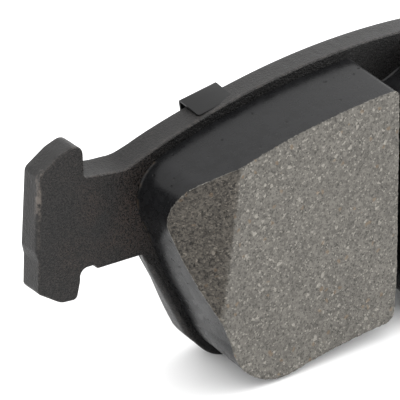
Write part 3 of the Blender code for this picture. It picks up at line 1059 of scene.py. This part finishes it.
    def grid_cap(self, work: bmesh.types.BMesh, cap: bmesh.types.BMFace) -> None:
        """Cut the face into small cells, and along the chamfer's crease.

        Args:
            work: the mesh being built.
            cap: the face's single polygon.
        """
        crease = self.sizes.place(self.side.value * self.crease_top, 0.0, 0.0)
        along = Vector((self.side.value * self.crease_lean, 0.0, -1.0)).normalized()
        lean = along.cross(Vector((0.0, 1.0, 0.0)))
        faces = self.cut(work, [cap], crease, lean)
        span = [vert.co.x for face in faces for vert in face.verts]
        for step in range(1, math.ceil((max(span) - min(span)) / self.cell)):
            spot = Vector((min(span) + step * self.cell, 0.0, 0.0))
            faces = self.cut(work, faces, spot, Vector((1.0, 0.0, 0.0)))
        span = [vert.co.z for face in faces for vert in face.verts]
        active = faces
        for step in range(1, math.ceil((max(span) - min(span)) / self.cell)):
            level = min(span) + step * self.cell
            found = self.cut(work, active, Vector((0.0, 0.0, level)), Vector((0.0, 0.0, 1.0)))
            active = [face for face in found
                      if max(vert.co.z for vert in face.verts) > level + 0.001 * MM]

    @staticmethod
    def cut(work: bmesh.types.BMesh, faces: Sequence[bmesh.types.BMFace], spot: Vector,
            across: Vector) -> list[bmesh.types.BMFace]:
        """Cut faces by a plane and return what they became."""
        geometry = dict.fromkeys(faces)
        for face in faces:
            geometry.update(dict.fromkeys(face.edges))
            geometry.update(dict.fromkeys(face.verts))
        made = bmesh.ops.bisect_plane(work, geom=list(geometry), dist=0.0005 * MM,
                                      plane_co=spot, plane_no=across)
        return [part for part in made["geom"]
                if isinstance(part, bmesh.types.BMFace) and part.material_index == 1]

    def relieve_cap(self, work: bmesh.types.BMesh) -> None:
        """Shape the cap: the chamfer, the grains' relief and the crumbled edge."""
        inner = dict.fromkeys(vert for face in work.faces if face.material_index == 1
                              for vert in face.verts)
        for vert in inner:
            wall = any(face.material_index == 0 for face in vert.link_faces)
            x, drop = self.side.value * vert.co.x, self.sizes.height - vert.co.z
            grain = noise.noise(vert.co * 1500.0) * 0.035 * MM
            pit = max(0.0, noise.noise(vert.co * 900.0 + Vector((7.0, 3.0, 1.0))) - 0.42)
            rough = 2.2 if self.on_chamfer(vert.co) else 1.0
            height = self.face_height(x, drop) - rough * (0.03 * MM - grain + pit * 0.5 * MM)
            if wall:
                crumble = abs(noise.noise(vert.co * 1900.0)) + abs(noise.noise(vert.co * 650.0))
                height -= crumble * self.rim_crumble
                shake = shaken(vert.co * 1300.0)
                vert.co.x += shake.x * self.rim_shake
                vert.co.z += shake.z * self.rim_shake
            vert.co.y = self.sizes.face_y - height

    def beyond_crease(self, x: float, drop: float) -> float:
        """How far a point lies past the chamfer's crease."""
        return (x - self.crease_top - self.crease_lean * drop) / math.hypot(1, self.crease_lean)

    def on_chamfer(self, place: Vector) -> bool:
        """Whether a point lies past the chamfer's crease."""
        return self.beyond_crease(self.side.value * place.x, self.sizes.height - place.z) > 0

    def chamfer_weight(self, place: Vector) -> float:
        """0 on the ground face, 1 on the chamfer."""
        drop = self.sizes.height - place.z
        return ramp01(self.beyond_crease(self.side.value * place.x, drop), -0.9 * MM, 1.3 * MM)

    def bareness(self, place: Vector) -> float:
        """1 at the ground edge of a wall, falling to 0 a little below it."""
        x, drop = self.side.value * place.x, self.sizes.height - place.z
        gap = self.face_height(x, drop) - (self.sizes.face_y - place.y)
        return 1 - ramp01(gap, 0.0, 0.95 * MM)

    def lip_weight(self, x: float, drop: float) -> float:
        """Where a thin lip of mix is squeezed out along the plate."""
        if self.scooped:
            return (1 - ramp01(x, 13.0 * MM, 17.0 * MM)) * (1 - ramp01(drop, 10.0 * MM, 13.0 * MM))
        span = ramp01(drop, 7.5 * MM, 10.0 * MM) * (1 - ramp01(drop, 25.0 * MM, 29.0 * MM))
        return span * ramp01(x, 50.0 * MM, 52.0 * MM)

    def lip_spot(self, place: Vector) -> float:
        """1 on the squeezed-out lip, 0 on the walls above it."""
        low = 1 - ramp01(self.sizes.face_y - place.y, 0.3 * MM, 0.5 * MM)
        return low * self.lip_weight(self.side.value * place.x, self.sizes.height - place.z)

    def build_underlayer(self, paint: bpy.types.Material, holes: Sequence[Point],
                         plug_radius: float) -> bpy.types.Object:
        """Model the underlayer with its squeezed-out lip and its plugs.

        Args:
            paint: finish of its walls.
            holes: the plate's moulding holes on one side.
            plug_radius: radius of the plugs.

        Returns:
            The underlayer.
        """
        outline, normals, _ = self.rings()
        work = bmesh.new()
        profile = ((0.02 * MM, 1.0), (0.16 * MM, 1.0), (0.30 * MM, 0.55), (0.42 * MM, 0.12),
                   (0.7 * MM, 0.0), (1.3 * MM, 0.0), (self.seam_height, 0.0))
        loops = []
        for height, reach in profile:
            spots = []
            for point, normal in zip(outline, normals):
                x, drop = self.wall_point(point, normal, height)
                wave = 0.55 + 0.9 * noise.noise(Vector((x, drop, 0.0)) * 260.0)
                out = reach * self.lip_width * max(0.1, wave) * self.lip_weight(x, drop)
                spots.append(self.place((x + normal.x * out, drop + normal.y * out), height))
            loops.append(Mesh.ring(work, spots))
        for low, high in zip(loops, loops[1:]):
            Mesh.bridge(work, low, high)
        work.faces.new(loops[0])
        work.faces.new(loops[-1])
        layer = Mesh.piece("underlayer_body_" + self.side.word, work, [paint], 50.0)
        Mesh.attribute(layer, "lip", self.lip_spot)
        for x, drop in holes:
            self.add_plug(layer, x, drop, plug_radius)
        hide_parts("underlayer_" + self.side.word)
        return layer

    def add_plug(self, layer: bpy.types.Object, x: float, drop: float, radius: float) -> None:
        """Join one moulded plug onto the underlayer."""
        depth = self.sizes.back_y - self.sizes.face_y - 0.6 * MM
        work = bmesh.new()
        work.from_mesh(layer.data)
        plug = bmesh.ops.create_cone(work, cap_ends=True, segments=40, radius1=radius,
                                     radius2=radius, depth=depth)["verts"]
        bmesh.ops.rotate(work, verts=plug, cent=(0.0, 0.0, 0.0),
                         matrix=Matrix.Rotation(math.pi / 2, 3, "X"))
        centre = self.sizes.place(self.side.value * x, drop, self.sizes.face_y + depth / 2)
        bmesh.ops.translate(work, verts=plug, vec=centre)
        work.to_mesh(layer.data)
        work.free()


# ---------------------------------------------------------------------------------------------
# Shims


@dataclass(frozen=True)
class Tab:
    """One tab of the cover shim, folded over the plate's edge."""

    x: float
    fold_drop: float
    tilt: float
    over_top: bool
    lean: float = 0.0


@dataclass
class ShimPack:
    """The clip-on cover shim and the layers of the damping shim under it."""

    sizes: PadSizes
    plate: BodyShape
    thickness: float = 0.5 * MM
    bend_radius: float = 0.6 * MM
    tab_width: float = 8.7 * MM
    tab_corner: float = 0.6 * MM
    tip_shortfall: float = 1.0 * MM
    notch_width: float = 0.9 * MM
    notch_depth: float = 1.3 * MM
    shape: BodyShape = field(default_factory=lambda: BodyShape(
        arch_radius=162.8 * MM,
        arch_end=50.0 * MM,
        corners=((55.0, 12.2, 3.0), (53.2, 28.6, 4.0), (43.0, 50.2, 4.0), (35.2, 58.4, 7.0)),
        foot_drop=54.6 * MM,
        foot_end=29.5 * MM,
    ))

    def tabs(self) -> list[Tab]:
        """The four tabs, outer ones on top."""
        result = []
        for side in Side:
            top_tilt = side.value * math.radians(9.0)
            result.append(Tab(side.value * 35.75 * MM, 3.65 * MM, top_tilt, True,
                              math.radians(11.0)))
            low_x = 13.0 * MM
            result.append(Tab(side.value * low_x, self.plate.foot_edge_drop(low_x) + 0.55 * MM,
                              side.value * math.radians(5.0), False))
        return result

    def edge_drop(self, x: float, over_top: bool) -> float:
        """Drop of the sheet's own edge at x."""
        return self.shape.arch_drop(x) if over_top else self.shape.foot_edge_drop(x)

    def splice(self, outline: list[Point], tab: Tab) -> tuple[list[Point], tuple[Point, Point]]:
        """Add a tab's neck, with a relief notch on each side, to the sheet's outline.

        Args:
            outline: the sheet's outline.
            tab: the tab to add.

        Returns:
            The new outline, and the two ends of the fold line.
        """
        along = Vector((math.cos(tab.tilt), math.sin(tab.tilt)))
        up = Vector((along.y, -along.x)) if tab.over_top else Vector((-along.y, along.x))
        origin = Vector((tab.x, tab.fold_drop))
        half = self.tab_width / 2
        wide = half + self.notch_width
        reach = abs(tab.fold_drop - self.edge_drop(tab.x, tab.over_top)) + self.notch_depth
        low = -reach
        neck = [origin - along * wide + up * low, origin - along * half + up * low,
                origin - along * half, origin + along * half,
                origin + along * half + up * low, origin + along * wide + up * low]
        left_x, right_x = neck[0].x, neck[-1].x
        neck.insert(0, Vector((left_x, self.edge_drop(left_x, tab.over_top))))
        neck.append(Vector((right_x, self.edge_drop(right_x, tab.over_top))))
        fold = (tuple(neck[3]), tuple(neck[4]))
        middle = self.sizes.height / 2
        on_edge = [(point[1] < middle) == tab.over_top and left_x <= point[0] <= right_x
                   for point in outline]
        start = next(i for i in range(len(outline)) if on_edge[i] and not on_edge[i - 1])
        turned = outline[start:] + outline[:start]
        kept = [point for point, gone in zip(turned, on_edge[start:] + on_edge[:start])
                if not gone]
        points = [tuple(point) for point in neck]
        if kept[0][0] < kept[-1][0]:
            points.reverse()
        return points + kept, fold

    def build_cover(self) -> bpy.types.Object:
        """Model the cover shim as one folded sheet.

        Returns:
            The cover shim.
        """
        middle_y = self.sizes.cover_back_y - self.thickness / 2
        outline = Outline.spaced(self.shape.outline(), 1.0 * MM)
        folds = []
        for tab in self.tabs():
            outline, fold = self.splice(outline, tab)
            folds.append((tab, fold))
        work = bmesh.new()
        ring = Mesh.ring(work, [self.sizes.place(x, drop, middle_y) for x, drop in outline])
        work.faces.new(ring)
        for tab, fold in folds:
            ends = [self.sizes.place(x, drop, middle_y) for x, drop in fold]
            self.fold_tab(work, tab, ends)
        cover = Mesh.piece("cover_sheet", work, [SheetCoating().material()], 50.0)
        solid = cover.modifiers.new("thickness", "SOLIDIFY")
        solid.thickness = self.thickness
        solid.offset = 0.0
        solid.use_even_offset = True
        rounding = cover.modifiers.new("rounding", "BEVEL")
        rounding.width = 0.09 * MM
        rounding.segments = 2
        rounding.limit_method = "ANGLE"
        rounding.angle_limit = math.radians(50)
        Mesh.apply_modifiers(cover)
        cover.data.shade_smooth()
        cover.data.set_sharp_from_angle(angle=math.radians(35))
        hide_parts("cover_shim")
        return cover

    def fold_tab(self, work: bmesh.types.BMesh, tab: Tab, ends: Sequence[Vector]) -> None:
        """Extrude a tab from its fold line, round the bend and out to its rounded tip.

        Args:
            work: the sheet being built.
            tab: the tab.
            ends: the fold line's two ends in the pad's frame.
        """
        verts = [min(work.verts, key=lambda vert: (vert.co - end).length) for end in ends]
        edge = work.edges.get(verts)
        across = (verts[1].co - verts[0].co).normalized()
        up = Vector((-across.z, 0.0, across.x))
        if (up.z < 0) == tab.over_top:
            up.negate()
        centre = (verts[0].co + verts[1].co) / 2
        forward = Vector((0.0, -1.0, 0.0))
        turn = math.pi / 2 + tab.lean
        steps = 7
        path = []
        for step in range(1, steps + 1):
            angle = turn * step / steps
            offset = (up * math.sin(angle) + forward * (1 - math.cos(angle))) * self.bend_radius
            path.append((centre + offset, self.tab_width / 2))
        heading = forward * math.sin(turn) + up * math.cos(turn)
        start = path[-1][0]
        tip_y = self.sizes.face_y + self.tip_shortfall
        length = (start.y - tip_y) / -heading.y
        for share in (0.35, 0.7):
            path.append((start + heading * (length - self.tab_corner) * share,
                         self.tab_width / 2))
        for step in range(6):
            angle = math.pi / 2 * step / 5
            inset = self.tab_corner * (1 - math.cos(angle))
            along = length - self.tab_corner * (1 - math.sin(angle))
            path.append((start + heading * along, self.tab_width / 2 - inset))
        for spot, half in path:
            made = bmesh.ops.extrude_edge_only(work, edges=[edge])["geom"]
            fresh = [part for part in made if isinstance(part, bmesh.types.BMVert)]
            fresh.sort(key=lambda vert: (vert.co - centre).dot(across))
            fresh[0].co = spot - across * half
            fresh[1].co = spot + across * half
            edge = work.edges.get(fresh)

    def dress_layers(self) -> None:
        """Give the damping shim's layers their finishes."""
        finishes = {
            "damping_rubber_inner": ShimRubber().material("shim_rubber_inner"),
            "damping_core": CoreSteel().material(),
            "damping_rubber_outer": ShimRubber().material("shim_rubber_outer"),
        }
        for name, material in finishes.items():
            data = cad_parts[name].data
            data.materials.clear()
            data.materials.append(material)


# ---------------------------------------------------------------------------------------------
# Studio


@dataclass(frozen=True)
class Lamp:
    """One soft light, aimed at the pad."""

    name: str
    place: Vector
    size: float
    power: float
    colour: Colour = (1.0, 1.0, 1.0)


@dataclass
class Studio:
    """White sweep, soft lights and the camera."""

    sizes: PadSizes
    azimuth: float = math.radians(35.41)
    elevation: float = math.radians(27.62)
    roll: float = math.radians(-0.90)
    distance: float = 641.1 * MM
    lens: float = 297.1
    aim_x: float = -40.66 * MM
    aim_drop: float = 22.28 * MM
    world_strength: float = 1.9
    sky_strength: float = 0.55
    floor_shade: float = 0.83

    def build(self) -> None:
        """Set up everything that isn't the pad."""
        bpy.context.scene.view_settings.view_transform = "Standard"
        self.build_world()
        self.build_floor()
        for lamp in self.lamps():
            self.add_lamp(lamp)
        self.add_sky()
        self.build_camera()

    def lamps(self) -> list[Lamp]:
        """A weak light from the right; the rest comes from the surroundings."""
        return [Lamp("key_right", Vector((0.70, -0.30, 0.25)), 0.40, 4.0)]

    def add_sky(self) -> None:
        """A broad light from straight above, which whitens the floor."""
        data = bpy.data.lights.new("overhead", "SUN")
        data.energy = self.sky_strength
        data.angle = math.radians(60.0)
        item = bpy.data.objects.new("overhead", data)
        bpy.context.scene.collection.objects.link(item)

    def add_lamp(self, lamp: Lamp) -> None:
        """Create one area light."""
        data = bpy.data.lights.new(lamp.name, "AREA")
        data.shape = "SQUARE"
        data.size = lamp.size
        data.energy = lamp.power
        data.color = lamp.colour
        item = bpy.data.objects.new(lamp.name, data)
        item.location = lamp.place
        aim = Vector((-0.02, 0.0, 0.03)) - lamp.place
        item.rotation_euler = aim.to_track_quat("-Z", "Y").to_euler()
        bpy.context.scene.collection.objects.link(item)

    def build_world(self) -> None:
        """Even white surroundings."""
        world = bpy.data.worlds.new("white_surroundings")
        world.use_nodes = True
        shade = world.node_tree.nodes["Background"]
        shade.inputs["Color"].default_value = (1.0, 1.0, 1.0, 1.0)
        shade.inputs["Strength"].default_value = self.world_strength
        bpy.context.scene.world = world

    def build_floor(self) -> None:
        """A large pale floor."""
        work = bmesh.new()
        bmesh.ops.create_grid(work, x_segments=2, y_segments=2, size=6.0)
        data = bpy.data.meshes.new("floor")
        work.to_mesh(data)
        work.free()
        tree = Tree("floor_card")
        tree.finish((self.floor_shade,) * 3, 0.9, specular=0.1)
        data.materials.append(tree.material)
        floor = bpy.data.objects.new("floor", data)
        bpy.context.scene.collection.objects.link(floor)

    def build_camera(self) -> None:
        """The camera, above the pad and to its left."""
        cos_up = math.cos(self.elevation)
        back = Vector((-math.sin(self.azimuth) * cos_up, -math.cos(self.azimuth) * cos_up,
                       math.sin(self.elevation)))
        level = Vector((math.cos(self.azimuth), -math.sin(self.azimuth), 0.0))
        upright = back.cross(level)
        right = level * math.cos(self.roll) + upright * math.sin(self.roll)
        up = back.cross(right)
        data = bpy.data.cameras.new("camera")
        data.lens = self.lens
        data.sensor_width = 36.0
        data.clip_start = 0.01
        data.clip_end = 50.0
        camera = bpy.data.objects.new("camera", data)
        turn = Matrix((right, up, back)).transposed().to_4x4()
        aim = self.sizes.place(self.aim_x, self.aim_drop, self.sizes.face_y)
        camera.matrix_world = Matrix.Translation(aim + back * self.distance) @ turn
        bpy.context.scene.collection.objects.link(camera)
        bpy.context.scene.camera = camera


# ---------------------------------------------------------------------------------------------
# The whole pad


def report(item: bpy.types.Object) -> None:
    """Log one finished piece."""
    LOG.info("%s: %d faces", item.name, len(item.data.polygons))


def main() -> None:
    """Build every piece of the pad and the studio around it."""
    logging.basicConfig(level=logging.INFO)
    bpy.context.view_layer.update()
    sizes = PadSizes.from_frame()
    Studio(sizes).build()

    plate = BackingPlate(sizes)
    report(plate.build())

    mix = GroundMix()
    ground = mix.material()
    paint = BlockPaint().material()
    blocks = (
        FrictionBlock(sizes, Side.LEFT, scooped=False, slot_half=3.25 * MM, slot_flare=0.65 * MM),
        FrictionBlock(sizes, Side.RIGHT, scooped=True, slot_half=3.3 * MM, slot_flare=0.0),
    )
    for block in blocks:
        report(block.build(paint, ground))
        report(block.build_underlayer(paint, plate.holes, plate.hole_radius - 0.15 * MM))

    shims = ShimPack(sizes, plate.shape)
    report(shims.build_cover())
    shims.dress_layers()


if __name__ == "__main__":
    main()
